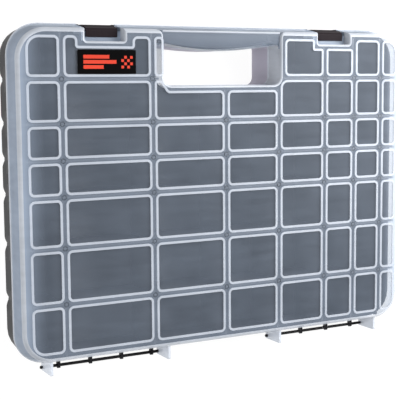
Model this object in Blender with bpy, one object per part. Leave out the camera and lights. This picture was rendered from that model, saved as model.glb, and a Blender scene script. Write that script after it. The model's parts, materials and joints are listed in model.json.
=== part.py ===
"""Parts organizer: a flat compartment case with a hinged lid, modelled lying on its back.

+X is the case's width, +Y runs from the hinges to the handle, and +Z points out of the lid.
The origin is under the middle of the case, on the surface that the tray's back rests on.
All lengths are in metres.
"""

import math

import bmesh
import bpy
from mathutils import Matrix, Vector

# Case: the lid's front face, and the rim where lid and tray meet
FACE_WIDTH = 0.455
FACE_HEIGHT = 0.326
FACE_CORNER = 0.030
SIDE_FLARE = 0.0015
TOP_FLARE = 0.0055
BOTTOM_FLARE = 0.0055
TRAY_DEPTH = 0.034
LID_DEPTH = 0.027
BACK_INSET = 0.0035
EDGE_ROUND = 0.0035

# Walls and the gaps between pieces
LID_WALL = 0.002
TRAY_WALL = 0.0022
FLOOR = 0.002
LIP_HEIGHT = 0.012
FIT_GAP = 0.0005
PART_GAP = 0.0003
SWING_GAP = 0.0015

# Dividers: the columns share out the face's width from its left edge, the rows its height from the top
DIVIDER_THICKNESS = 0.002
DIVIDER_TOP_GAP = 0.0008
COLUMN_SHARES = (0.0989, 0.3121, 0.4978, 0.6418, 0.7725, 0.8598, 0.9407)
ROW_SHARES = (0.1497, 0.2828, 0.3926, 0.5021, 0.6567, 0.8276)

# Hand slot
SLOT_WIDTH = 0.1396
SLOT_OFFSET = -0.003
SLOT_TOP = 0.0135
SLOT_BOTTOM = 0.0559
SLOT_ARCH = 0.0060
SLOT_CORNER = 0.009
GRIP_CORNER = 0.004

# Latches
LATCH_INSET = 0.0911
LATCH_WIDTH = 0.0335
LATCH_PLATE = 0.0023
LATCH_LIP = 0.0094
LATCH_SINK = 0.0084
LATCH_SLOPE = 0.0037
LATCH_BELOW_RIM = 0.0045
LATCH_SIDE_GAP = 0.001
LATCH_PIN_RADIUS = 0.0012
LATCH_PIN_REACH = 0.0035
BARREL_WALL = 0.0014
POCKET_MARGIN = 0.00425
POCKET_HEIGHT = 0.012
BARREL_ROOM_BELOW = 0.006

# Hinges
HINGE_INSET = 0.0295
HINGE_LENGTH = 0.1295
HINGE_BELOW_RIM = 0.0023
HINGE_STANDOFF = 0.0032
HINGE_PIN_RADIUS = 0.0014
HINGE_PIN_PROUD = 0.0025
FIN_THICKNESS = 0.0024
FIN_WALL = 0.0019
LUG_COUNT = 4
LUG_INNER_GAP = 0.0065
LUG_OUTER_GAP = 0.0135
LUG_WIDTH = 0.005
LUG_WALL = 0.0017
RUNNING_GAP = 0.00035

# Label on the lid, measured from the first column divider and the face's top edge
LABEL_MARGIN = 0.0163
LABEL_TOP = 0.0205
LABEL_WIDTH = 0.062
LABEL_HEIGHT = 0.0236
LABEL_THICKNESS = 0.0004

# How the coarse roundings share out their radius or their wall
BACK_INSET_SHARE = 0.6
BACK_STEP_SHARE = 0.3
FACE_STEP_SHARE = 0.3
FIN_ROOT_SHARE = 0.6
LATCH_WAIST_SHARE = 0.2
LATCH_TIP_SHARE = 0.3
LATCH_CREST_SHARE = 0.4

# Facets
CORNER_STEPS = 6
ROUND_STEPS = 16
ARCH_STEPS = 10

# What follows from them
RIM_Z = TRAY_DEPTH
TRAY_RIM_Z = RIM_Z - PART_GAP
FACE_Z = TRAY_DEPTH + LID_DEPTH
LIP_TOP_Z = RIM_Z + LIP_HEIGHT
LUG_RADIUS = HINGE_PIN_RADIUS + LUG_WALL
FIN_REACH = BOTTOM_FLARE + HINGE_STANDOFF + LUG_RADIUS + HINGE_PIN_RADIUS + FIN_WALL
FACE_CENTRE_Y = (FIN_REACH - TOP_FLARE) / 2
FACE_LEFT = -FACE_WIDTH / 2
FACE_TOP = FACE_CENTRE_Y + FACE_HEIGHT / 2
FACE_BOTTOM = FACE_CENTRE_Y - FACE_HEIGHT / 2
RIM_TOP = FACE_TOP + TOP_FLARE
RIM_BOTTOM = FACE_BOTTOM - BOTTOM_FLARE
LIP_INSET = LID_WALL + FIT_GAP
CAVITY_INSET = LIP_INSET + TRAY_WALL
DIVIDER_TOP_Z = FACE_Z - LID_WALL - DIVIDER_TOP_GAP
BEYOND = 0.02

LATCH_BARREL_RADIUS = LATCH_PIN_RADIUS + BARREL_WALL
LATCH_AXIS_Y = RIM_TOP - PART_GAP - LATCH_BARREL_RADIUS
LATCH_AXIS_Z = RIM_Z - LATCH_BELOW_RIM
LATCH_OUTER_Y = RIM_TOP - PART_GAP - LATCH_SLOPE
LATCH_LIP_TOP = FACE_Z - LATCH_SINK
LATCH_PLACE = FACE_WIDTH / 2 - LATCH_INSET
LATCH_PLACES = {"left": -LATCH_PLACE, "right": LATCH_PLACE}
BARREL_ROOM_Y = LATCH_AXIS_Y - LATCH_BARREL_RADIUS - 2 * PART_GAP
POCKET_WIDTH = LATCH_WIDTH + 2 * POCKET_MARGIN
POCKET_FLOOR_Z = LATCH_LIP_TOP - LATCH_PLATE - PART_GAP
POCKET_BOTTOM_Y = FACE_TOP - POCKET_HEIGHT
RECESS_Y = LATCH_OUTER_Y - LATCH_PLATE - LATCH_SIDE_GAP

HINGE_AXIS_Y = RIM_BOTTOM - HINGE_STANDOFF - LUG_RADIUS
HINGE_AXIS_Z = RIM_Z - HINGE_BELOW_RIM
HINGE_OUTER_FIN = FACE_WIDTH / 2 - HINGE_INSET
HINGE_INNER_FIN = HINGE_OUTER_FIN - HINGE_LENGTH
HINGE_SIDES = {"left": -1, "right": 1}


# ---- outlines ----

def mixed(low, high, share):
    return low + (high - low) * share


def case_edges(z, inset=0.0):
    """Left, right, bottom, top and corner radius of the case's outer edge at height z."""
    if z <= RIM_Z:
        drawn_in = BACK_INSET * (1 - z / RIM_Z) + inset
        share = 1.0
    else:
        drawn_in = inset
        share = (FACE_Z - z) / LID_DEPTH
    side = FACE_WIDTH / 2 + SIDE_FLARE * share - drawn_in
    top = FACE_TOP + TOP_FLARE * share - drawn_in
    bottom = FACE_BOTTOM - BOTTOM_FLARE * share + drawn_in
    return -side, side, bottom, top, FACE_CORNER + SIDE_FLARE * share - drawn_in


def arc(centre_x, centre_y, radius, start, end, steps):
    """Points along an arc, with its two ends, angles in degrees."""
    angles = [math.radians(mixed(start, end, i / steps)) for i in range(steps + 1)]
    return [(centre_x + radius * math.cos(a), centre_y + radius * math.sin(a)) for a in angles]


def rounded_rectangle(left, right, bottom, top, radius):
    points = arc(right - radius, bottom + radius, radius, -90, 0, CORNER_STEPS)
    points += arc(right - radius, top - radius, radius, 0, 90, CORNER_STEPS)
    points += arc(left + radius, top - radius, radius, 90, 180, CORNER_STEPS)
    points += arc(left + radius, bottom + radius, radius, 180, 270, CORNER_STEPS)
    return points


def case_outline(z, inset=0.0):
    return rounded_rectangle(*case_edges(z, inset))


def slot_edges():
    """Left, right, bottom and top of the hand slot."""
    left = SLOT_OFFSET - SLOT_WIDTH / 2
    return left, left + SLOT_WIDTH, FACE_TOP - SLOT_BOTTOM, FACE_TOP - SLOT_TOP


def slot_outline(grow=0.0):
    """The hand slot, larger by grow all round; the grip arches down into it."""
    left, right, bottom, top = slot_edges()
    wide = SLOT_CORNER + grow
    tight = GRIP_CORNER + grow
    points = arc(left + SLOT_CORNER, bottom + SLOT_CORNER, wide, 180, 270, CORNER_STEPS)
    points += arc(right - SLOT_CORNER, bottom + SLOT_CORNER, wide, 270, 360, CORNER_STEPS)
    points += arc(right - GRIP_CORNER, top - GRIP_CORNER, tight, 0, 90, CORNER_STEPS)
    half = SLOT_WIDTH / 2 - GRIP_CORNER
    for i in range(1, ARCH_STEPS):
        share = 1 - 2 * i / ARCH_STEPS
        points.append((SLOT_OFFSET + half * share, top + grow - SLOT_ARCH * (1 - share * share)))
    points += arc(left + GRIP_CORNER, top - GRIP_CORNER, tight, 90, 180, CORNER_STEPS)
    return points


# ---- solids ----

def new_object(name, bm):
    bmesh.ops.remove_doubles(bm, verts=bm.verts, dist=1e-7)
    bmesh.ops.recalc_face_normals(bm, faces=bm.faces)
    mesh = bpy.data.meshes.new(name)
    bm.to_mesh(mesh)
    bm.free()
    made = bpy.data.objects.new(name, mesh)
    bpy.context.scene.collection.objects.link(made)
    return made


def loft(name, rings):
    """A closed solid through rings of (points, height), which have the same number of points."""
    bm = bmesh.new()
    loops = [[bm.verts.new((x, y, z)) for x, y in points] for points, z in rings]
    for lower, upper in zip(loops, loops[1:]):
        for i in range(len(lower)):
            j = (i + 1) % len(lower)
            bm.faces.new((lower[i], lower[j], upper[j], upper[i]))
    bm.faces.new(loops[0])
    bm.faces.new(loops[-1])
    return new_object(name, bm)


def prism(name, points, bottom, top):
    return loft(name, [(points, bottom), (points, top)])


def along_x(name, profile, left, right):
    """A Y-Z profile drawn out along X."""
    made = prism(name, profile, left, right)
    made.data.transform(Matrix(((0, 0, 1, 0), (1, 0, 0, 0), (0, 1, 0, 0), (0, 0, 0, 1))))
    return made


def along_y(name, profile, low, high):
    """An X-Z profile drawn out along Y."""
    made = prism(name, profile, -high, -low)
    made.data.transform(Matrix(((1, 0, 0, 0), (0, 0, -1, 0), (0, 1, 0, 0), (0, 0, 0, 1))))
    return made


def block(name, left, right, bottom, top, low, high):
    corners = [(left, bottom), (right, bottom), (right, top), (left, top)]
    return prism(name, corners, low, high)


def rod(name, left, right, y, z, radius):
    return along_x(name, arc(y, z, radius, 0, 360 - 360 / ROUND_STEPS, ROUND_STEPS - 1), left, right)


def apply_boolean(target, tool, operation):
    modifier = target.modifiers.new(tool.name, "BOOLEAN")
    modifier.operation = operation
    modifier.solver = "EXACT"
    modifier.object = tool
    tool.hide_render = True
    tool.display_type = "WIRE"


def cut(target, *tools):
    for tool in tools:
        apply_boolean(target, tool, "DIFFERENCE")


def join(target, *tools):
    for tool in tools:
        apply_boolean(target, tool, "UNION")


def finish(made, colour, roughness, smooth=True):
    material = bpy.data.materials.new(made.name + "_finish")
    material.use_nodes = True
    shader = material.node_tree.nodes["Principled BSDF"]
    shader.inputs["Base Color"].default_value = (*colour[:3], 1)
    shader.inputs["Roughness"].default_value = roughness
    shader.inputs["Metallic"].default_value = 0.0
    shader.inputs["Alpha"].default_value = colour[3] if len(colour) > 3 else 1.0
    made.data.materials.append(material)
    if smooth:
        made.data.shade_smooth()
        made.data.set_sharp_from_angle(angle=math.radians(35))


BLACK = (0.016, 0.016, 0.018)
DIVIDER_BLACK = (0.020, 0.021, 0.024)
LATCH_BLACK = (0.030, 0.026, 0.028)
FROSTED = (0.78, 0.82, 0.85, 0.4)


# ---- dividers ----

def cavity_edges():
    return case_edges(LIP_TOP_Z, CAVITY_INSET)


def cavity_reach(across, half_span, half_reach, radius):
    """How far the cavity reaches on one axis, at a distance along the other from the middle."""
    past = abs(across) - (half_span - radius)
    if past <= 0:
        return half_reach
    return half_reach - radius + math.sqrt(radius * radius - past * past)


def row_y(share):
    return FACE_TOP - share * FACE_HEIGHT


def column_x(share):
    return FACE_LEFT + share * FACE_WIDTH


def row_spans(y):
    """The stretches of X that a row divider fills: one, or two where the hand slot parts it."""
    left, right, bottom, top, radius = cavity_edges()
    middle = (bottom + top) / 2
    edge = abs(y - middle) + DIVIDER_THICKNESS / 2
    reach = cavity_reach(edge, (top - bottom) / 2, right, radius) - PART_GAP
    slot_left, slot_right, slot_bottom, _ = slot_edges()
    wall = CAVITY_INSET + PART_GAP
    if y + DIVIDER_THICKNESS / 2 < slot_bottom - wall:
        return [(-reach, reach)]
    return [(-reach, slot_left - wall), (slot_right + wall, reach)]


def latch_near(x):
    """Whether a plate at x passes through the space of a latch's pocket."""
    zone = POCKET_WIDTH / 2 + LID_WALL + SWING_GAP + DIVIDER_THICKNESS / 2
    return any(abs(x - place) < zone for place in LATCH_PLACES.values())


def column_top(x):
    """The upper end of a column divider, low down, and above the latch pocket's floor."""
    left, right, bottom, top, radius = cavity_edges()
    slot_left, slot_right, slot_bottom, _ = slot_edges()
    wall = CAVITY_INSET + PART_GAP + DIVIDER_THICKNESS / 2
    if slot_left - wall < x < slot_right + wall:
        end = slot_bottom - CAVITY_INSET - PART_GAP
        return end, end
    if latch_near(x):
        end = min(RECESS_Y - LID_WALL - SWING_GAP, BARREL_ROOM_Y - TRAY_WALL - PART_GAP)
        return end, POCKET_BOTTOM_Y - LID_WALL - SWING_GAP
    middle = (bottom + top) / 2
    edge = abs(x) + DIVIDER_THICKNESS / 2
    end = middle + cavity_reach(edge, right, (top - bottom) / 2, radius) - PART_GAP
    return end, end


def column_bottom(x):
    left, right, bottom, top, radius = cavity_edges()
    middle = (bottom + top) / 2
    edge = abs(x) + DIVIDER_THICKNESS / 2
    return middle - cavity_reach(edge, right, (top - bottom) / 2, radius) + PART_GAP


def make_dividers():
    """Plates that cross by half-laps: rows are slotted from above, columns from below."""
    low = FLOOR + PART_GAP
    middle = (low + DIVIDER_TOP_Z) / 2
    half_lap = DIVIDER_THICKNESS / 2 + PART_GAP
    half = DIVIDER_THICKNESS / 2
    for number, share in enumerate(ROW_SHARES, 1):
        y = row_y(share)
        spans = row_spans(y)
        for side, (left, right) in zip(("left", "right"), spans):
            crossed = [column_x(c) for c in COLUMN_SHARES]
            crossed = [x for x in crossed if left < x < right and column_top(x)[0] > y]
            profile = [(left, low), (right, low), (right, DIVIDER_TOP_Z)]
            for x in sorted(crossed, reverse=True):
                profile += [(x + half_lap, DIVIDER_TOP_Z), (x + half_lap, middle - PART_GAP / 2)]
                profile += [(x - half_lap, middle - PART_GAP / 2), (x - half_lap, DIVIDER_TOP_Z)]
            profile.append((left, DIVIDER_TOP_Z))
            name = f"row_divider_{number}" + (f"_{side}" if len(spans) > 1 else "")
            finish(along_y(name, profile, y - half, y + half), DIVIDER_BLACK, 0.45, smooth=False)
    for number, share in enumerate(COLUMN_SHARES, 1):
        x = column_x(share)
        bottom = column_bottom(x)
        top, high_top = column_top(x)
        crossed = []
        for y in map(row_y, ROW_SHARES):
            inside = any(left < x < right for left, right in row_spans(y))
            if inside and bottom < y < top:
                crossed.append(y)
        profile = [(bottom, low)]
        for y in sorted(crossed):
            profile += [(y - half_lap, low), (y - half_lap, middle + PART_GAP / 2)]
            profile += [(y + half_lap, middle + PART_GAP / 2), (y + half_lap, low)]
        profile.append((top, low))
        if high_top < top:
            step = POCKET_FLOOR_Z - LID_WALL - SWING_GAP
            profile += [(top, step), (high_top, step)]
        profile += [(high_top, DIVIDER_TOP_Z), (bottom, DIVIDER_TOP_Z)]
        made = along_x(f"column_divider_{number}", profile, x - half, x + half)
        finish(made, DIVIDER_BLACK, 0.45, smooth=False)


# ---- tray ----

def make_tray():
    back_step = EDGE_ROUND * BACK_STEP_SHARE
    rings = [
        (case_outline(0, EDGE_ROUND * BACK_INSET_SHARE), 0),
        (case_outline(back_step, back_step / 2), back_step),
        (case_outline(EDGE_ROUND), EDGE_ROUND),
        (case_outline(TRAY_RIM_Z), TRAY_RIM_Z),
    ]
    tray = loft("tray", rings)
    lip = [(case_outline(RIM_Z, LIP_INSET), TRAY_RIM_Z - TRAY_WALL)]
    lip += [(case_outline(z, LIP_INSET), z) for z in (RIM_Z, LIP_TOP_Z)]
    cavity = prism("tray_cavity", rounded_rectangle(*cavity_edges()), FLOOR, FACE_Z)
    cut(cavity, prism("slot_surround", slot_outline(CAVITY_INSET), 0, LIP_TOP_Z))
    slot_left, slot_right, slot_bottom, slot_top = slot_edges()
    grip_low = slot_top - SLOT_ARCH
    cut(cavity, block("grip_core", slot_left, slot_right, grip_low, RIM_TOP, 0, TRAY_RIM_Z))
    join(tray, loft("tray_lip", lip))
    cut(tray, cavity)
    for side, x in LATCH_PLACES.items():
        make_latch_seat(tray, side, x)
    cut(tray, prism("lid_seat_round_slot", slot_outline(LIP_INSET), TRAY_RIM_Z, FACE_Z))
    cut(tray, prism("tray_slot", slot_outline(), -BEYOND, FACE_Z))
    for side, sign in HINGE_SIDES.items():
        make_lugs(tray, side, sign)
    finish(tray, BLACK, 0.42)


def make_latch_seat(tray, side, x):
    """A pocket in the tray's upper wall for the latch's barrel, whose ends hold the pin."""
    half = LATCH_WIDTH / 2 + LATCH_SIDE_GAP
    inner = BARREL_ROOM_Y - TRAY_WALL
    floor = LATCH_AXIS_Z - BARREL_ROOM_BELOW
    outer = half + LATCH_PIN_REACH + TRAY_WALL
    seat = block(
        f"{side}_latch_seat", x - outer, x + outer, inner, LATCH_AXIS_Y, floor - TRAY_WALL, TRAY_RIM_Z
    )
    join(tray, seat)
    zone = POCKET_WIDTH / 2 + LID_WALL + FIT_GAP
    lid_wall_y = RECESS_Y - LID_WALL - FIT_GAP
    cut(
        tray,
        block(f"{side}_lip_gap", x - zone, x + zone, lid_wall_y, RIM_TOP + BEYOND, TRAY_RIM_Z, FACE_Z),
        block(f"{side}_barrel_room", x - half, x + half, BARREL_ROOM_Y, RIM_TOP + BEYOND, floor, FACE_Z),
        rod(
            f"{side}_latch_pin_hole",
            x - half - LATCH_PIN_REACH - PART_GAP,
            x + half + LATCH_PIN_REACH + PART_GAP,
            LATCH_AXIS_Y,
            LATCH_AXIS_Z,
            LATCH_PIN_RADIUS + PART_GAP,
        ),
    )


def lug_places():
    """Distances from the case's middle to each hinge's lugs, inner first."""
    inner = HINGE_INNER_FIN + LUG_INNER_GAP + LUG_WIDTH / 2
    outer = HINGE_OUTER_FIN - LUG_OUTER_GAP - LUG_WIDTH / 2
    return [mixed(inner, outer, i / (LUG_COUNT - 1)) for i in range(LUG_COUNT)]


def make_lugs(tray, side, sign):
    """The lugs that carry one hinge pin, standing out of the tray's lower wall."""
    root = RIM_BOTTOM + BACK_INSET + TRAY_WALL / 2
    low = HINGE_AXIS_Z - LUG_RADIUS
    high = min(TRAY_RIM_Z, HINGE_AXIS_Z + LUG_RADIUS)
    profile = [(root, low)]
    profile += arc(HINGE_AXIS_Y, HINGE_AXIS_Z, LUG_RADIUS, -90, -220, ROUND_STEPS // 2)
    profile += [(HINGE_AXIS_Y, high), (root, high)]
    for number, place in enumerate(lug_places(), 1):
        x = sign * place
        join(tray, along_x(f"{side}_lug_{number}", profile, x - LUG_WIDTH / 2, x + LUG_WIDTH / 2))
    ends = sorted((sign * HINGE_INNER_FIN, sign * HINGE_OUTER_FIN))
    hole = rod(f"{side}_lug_bore", *ends, HINGE_AXIS_Y, HINGE_AXIS_Z, HINGE_PIN_RADIUS + PART_GAP)
    cut(tray, hole)


# ---- lid ----

def make_lid(axis):
    face_step = EDGE_ROUND * FACE_STEP_SHARE
    rings = [
        (case_outline(RIM_Z), RIM_Z),
        (case_outline(FACE_Z - EDGE_ROUND), FACE_Z - EDGE_ROUND),
        (case_outline(FACE_Z, face_step), FACE_Z - face_step),
        (case_outline(FACE_Z, EDGE_ROUND), FACE_Z),
    ]
    lid = loft("lid", rings)
    inner = [(case_outline(RIM_Z, LID_WALL), RIM_Z - BEYOND)]
    inner += [(case_outline(z, LID_WALL), z) for z in (RIM_Z, FACE_Z - LID_WALL)]
    cavity = loft("lid_cavity", inner)
    cut(cavity, prism("slot_wall", slot_outline(LID_WALL), 0, FACE_Z))
    pocket_tools = []
    past = RIM_TOP + BEYOND
    above = FACE_Z + BEYOND
    shelf_z = POCKET_FLOOR_Z - LID_WALL
    for side, x in LATCH_PLACES.items():
        left, right = x - POCKET_WIDTH / 2, x + POCKET_WIDTH / 2
        wall_left, wall_right = left - LID_WALL, right + LID_WALL
        shelf_y, wall_y = POCKET_BOTTOM_Y - LID_WALL, RECESS_Y - LID_WALL
        cut(
            cavity,
            block(f"{side}_pocket_wall", wall_left, wall_right, shelf_y, past, shelf_z, FACE_Z),
            block(f"{side}_recess_wall", wall_left, wall_right, wall_y, past, 0, FACE_Z),
        )
        pocket_tools += [
            block(f"{side}_pocket", left, right, POCKET_BOTTOM_Y, past, POCKET_FLOOR_Z, above),
            block(f"{side}_recess", left, right, RECESS_Y, past, 0, above),
        ]
    cut(lid, cavity, *pocket_tools)
    cut(lid, prism("lid_slot", slot_outline(), 0, FACE_Z + BEYOND))
    make_fins(lid)
    finish(lid, FROSTED, 0.3)
    ride_on(lid, axis)


def make_fins(lid):
    """Four fins that stand out of the lid's lower wall and carry the hinge pins."""
    root = FACE_BOTTOM + LID_WALL * FIN_ROOT_SHARE
    tip = FACE_BOTTOM - FIN_REACH
    back = HINGE_AXIS_Z - HINGE_PIN_RADIUS - FIN_WALL
    clear = RIM_BOTTOM - SWING_GAP
    shelf = RIM_Z + PART_GAP
    rim_root = RIM_BOTTOM + LID_WALL * FIN_ROOT_SHARE
    top = FACE_Z - EDGE_ROUND
    profile = [(tip, back), (clear, back), (clear, shelf), (rim_root, shelf), (root, top), (tip, top)]
    for side, sign in HINGE_SIDES.items():
        for end, place in (("inner", HINGE_INNER_FIN), ("outer", HINGE_OUTER_FIN)):
            x = sign * place
            half = FIN_THICKNESS / 2
            join(lid, along_x(f"{side}_{end}_fin", profile, x - half, x + half))
        past = FIN_THICKNESS
        ends = sorted((sign * (HINGE_INNER_FIN - past), sign * (HINGE_OUTER_FIN + past)))
        radius = HINGE_PIN_RADIUS + RUNNING_GAP
        cut(lid, rod(f"{side}_fin_bore", *ends, HINGE_AXIS_Y, HINGE_AXIS_Z, radius))


def make_label(axis):
    left = column_x(COLUMN_SHARES[0]) + LABEL_MARGIN
    top = FACE_TOP - LABEL_TOP
    base = FACE_Z + PART_GAP
    label = block(
        "front_label", left, left + LABEL_WIDTH, top - LABEL_HEIGHT, top, base, base + LABEL_THICKNESS
    )
    finish(label, (0.012, 0.011, 0.012), 0.5, smooth=False)
    ride_on(label, axis)


# ---- latches and pins ----

def make_latch(side, x):
    outer = LATCH_AXIS_Y + LATCH_BARREL_RADIUS
    lip_bottom = LATCH_LIP_TOP - LATCH_PLATE
    outer_top = LATCH_OUTER_Y
    lip_end = outer_top - LATCH_LIP
    tip = LATCH_PLATE * LATCH_TIP_SHARE
    crest = LATCH_PLATE * LATCH_CREST_SHARE
    profile = arc(LATCH_AXIS_Y, LATCH_AXIS_Z, LATCH_BARREL_RADIUS, 0, -225, ROUND_STEPS)
    profile += [
        (outer - LATCH_PLATE - LATCH_SLOPE * LATCH_WAIST_SHARE, RIM_Z),
        (outer_top - LATCH_PLATE, lip_bottom),
        (lip_end, lip_bottom),
        (lip_end, LATCH_LIP_TOP - tip),
        (lip_end + tip, LATCH_LIP_TOP),
        (outer_top - crest, LATCH_LIP_TOP),
        (outer_top, LATCH_LIP_TOP - crest),
    ]
    half = LATCH_WIDTH / 2
    latch = along_x(f"{side}_latch", profile, x - half, x + half)
    cut(
        latch,
        rod(
            f"{side}_latch_bore",
            x - LATCH_WIDTH,
            x + LATCH_WIDTH,
            LATCH_AXIS_Y,
            LATCH_AXIS_Z,
            LATCH_PIN_RADIUS + RUNNING_GAP,
        ),
    )
    finish(latch, LATCH_BLACK, 0.38)
    ride_on(latch, axis_empty(f"{side}_latch_axis", (x, LATCH_AXIS_Y, LATCH_AXIS_Z)))
    reach = half + LATCH_SIDE_GAP + LATCH_PIN_REACH
    pin = rod(f"{side}_latch_pin", x - reach, x + reach, LATCH_AXIS_Y, LATCH_AXIS_Z, LATCH_PIN_RADIUS)
    finish(pin, BLACK, 0.35)


def make_hinge_pin(side, sign):
    past = FIN_THICKNESS / 2 + HINGE_PIN_PROUD
    ends = sorted((sign * (HINGE_INNER_FIN - past), sign * (HINGE_OUTER_FIN + past)))
    pin = rod(f"{side}_hinge_pin", *ends, HINGE_AXIS_Y, HINGE_AXIS_Z, HINGE_PIN_RADIUS)
    finish(pin, BLACK, 0.35)


def axis_empty(name, place):
    empty = bpy.data.objects.new(name, None)
    empty.location = place
    empty.empty_display_size = 0.01
    bpy.context.scene.collection.objects.link(empty)
    return empty


def ride_on(made, empty):
    """Parents a moving piece to the empty on its joint's axis, leaving it where it is."""
    made.parent = empty
    made.matrix_parent_inverse = Matrix.Translation(-Vector(empty.location))


def main():
    for old in list(bpy.data.objects):
        bpy.data.objects.remove(old)
    make_tray()
    make_dividers()
    lid_axis = axis_empty("lid_axis", (0, HINGE_AXIS_Y, HINGE_AXIS_Z))
    make_lid(lid_axis)
    make_label(lid_axis)
    for side, x in LATCH_PLACES.items():
        make_latch(side, x)
    for side, sign in HINGE_SIDES.items():
        make_hinge_pin(side, sign)


main()
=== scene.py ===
"""A parts organizer: a black tray of dividers under a hinged, latched, frosted lid."""

import json
import math

import bmesh
import bpy
from bpy.props import FloatProperty, FloatVectorProperty, PointerProperty
from mathutils import Matrix, Vector

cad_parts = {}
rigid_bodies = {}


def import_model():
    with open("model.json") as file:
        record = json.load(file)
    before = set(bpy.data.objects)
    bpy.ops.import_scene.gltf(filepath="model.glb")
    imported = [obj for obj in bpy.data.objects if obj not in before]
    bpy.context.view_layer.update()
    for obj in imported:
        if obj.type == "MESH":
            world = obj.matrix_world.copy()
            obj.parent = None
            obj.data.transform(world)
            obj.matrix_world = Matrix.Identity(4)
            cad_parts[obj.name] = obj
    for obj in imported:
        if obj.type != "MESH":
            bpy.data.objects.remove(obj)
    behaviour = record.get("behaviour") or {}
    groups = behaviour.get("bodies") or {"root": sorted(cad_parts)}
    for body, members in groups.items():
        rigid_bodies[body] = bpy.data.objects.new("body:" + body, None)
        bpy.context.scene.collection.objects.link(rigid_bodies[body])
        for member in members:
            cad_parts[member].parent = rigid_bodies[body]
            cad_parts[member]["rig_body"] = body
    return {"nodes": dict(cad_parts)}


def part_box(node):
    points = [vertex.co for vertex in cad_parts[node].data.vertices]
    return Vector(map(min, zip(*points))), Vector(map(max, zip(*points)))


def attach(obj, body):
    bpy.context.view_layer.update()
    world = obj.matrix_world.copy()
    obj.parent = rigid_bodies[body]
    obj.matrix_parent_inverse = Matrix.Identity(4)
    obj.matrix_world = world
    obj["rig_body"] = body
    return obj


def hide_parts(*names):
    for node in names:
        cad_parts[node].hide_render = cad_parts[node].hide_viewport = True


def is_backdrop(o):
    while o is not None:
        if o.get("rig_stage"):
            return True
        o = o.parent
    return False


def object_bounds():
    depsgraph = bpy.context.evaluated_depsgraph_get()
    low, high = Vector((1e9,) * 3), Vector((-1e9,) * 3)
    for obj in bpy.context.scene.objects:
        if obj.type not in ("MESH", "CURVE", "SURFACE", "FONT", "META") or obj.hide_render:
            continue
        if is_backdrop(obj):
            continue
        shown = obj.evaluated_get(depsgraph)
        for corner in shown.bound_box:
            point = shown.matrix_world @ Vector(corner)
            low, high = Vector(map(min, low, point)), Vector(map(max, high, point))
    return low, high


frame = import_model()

CAD_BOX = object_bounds()

bl_info = {
    "name": "Parts organizer",
    "version": (1, 0, 0),
    "blender": (4, 5, 0),
    "location": "3D view > Sidebar > Organizer",
    "description": "Builds the looks of a parts organizer around its working frame",
    "category": "Object",
}

# ---- places taken from the frame ----


def middle(node, axis):
    low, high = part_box(node)
    return (low[axis] + high[axis]) / 2


LID_LOW, LID_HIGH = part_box("lid")
_, TRAY_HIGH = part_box("tray")
LABEL_LOW, LABEL_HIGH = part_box("front_label")
COLUMNS = [middle(f"column_divider_{n}", 0) for n in range(1, 8)]
ROWS = [middle("row_divider_1_left", 1)] + [middle(f"row_divider_{n}", 1) for n in range(2, 7)]
LATCHES = {"left": middle("left_latch", 0), "right": middle("right_latch", 0)}
HINGES = {"left": -1, "right": 1}

LIP_HEIGHT = 0.012
FACE_Z = LID_HIGH.z
RIM_Z = TRAY_HIGH.z - LIP_HEIGHT
SIDE_FLARE = 0.0015
END_FLARE = 0.0055
FACE_HALF = LID_HIGH.x - SIDE_FLARE
FACE_HEIGHT = 0.326
FACE_TOP = LID_HIGH.y - END_FLARE
FACE_BOTTOM = FACE_TOP - FACE_HEIGHT
FACE_CORNER = 0.030
BACK_INSET = 0.0035
RIM_TOP = LID_HIGH.y
RIM_BOTTOM = FACE_BOTTOM - END_FLARE

SLOT_LEFT = -0.0728
SLOT_RIGHT = 0.0668
SLOT_TOP = FACE_TOP - 0.0135
SLOT_BOTTOM = FACE_TOP - 0.0559
SLOT_ARCH = 0.006
SLOT_CORNER = 0.009
GRIP_CORNER = 0.004
GRIP_END_ROUND = 0.0065

POCKET_HALF = 0.021
POCKET_BOTTOM = FACE_TOP - 0.012
POCKET_CORNER = 0.002
POCKET_FLOOR_Z = 0.050
RECESS_Y = 0.166

HINGE_AXIS_Y, HINGE_AXIS_Z = middle("left_hinge_pin", 1), middle("left_hinge_pin", 2)
FIN_PLACES = (0.0685, 0.198)
FIN_HALF = 0.0012
FIN_BACK_Z = LID_LOW.z
HINGE_BORE_RADIUS = 0.00175
LATCH_BORE_RADIUS = 0.0012 + 0.00035

BEYOND = 0.02
CORNER_STEPS = 10
FILLET_STEPS = 5
FACE, EDGE, WALL, WINDOW, INSIDE, FIN = range(6)


# ---- settings that a user would change ----


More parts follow.
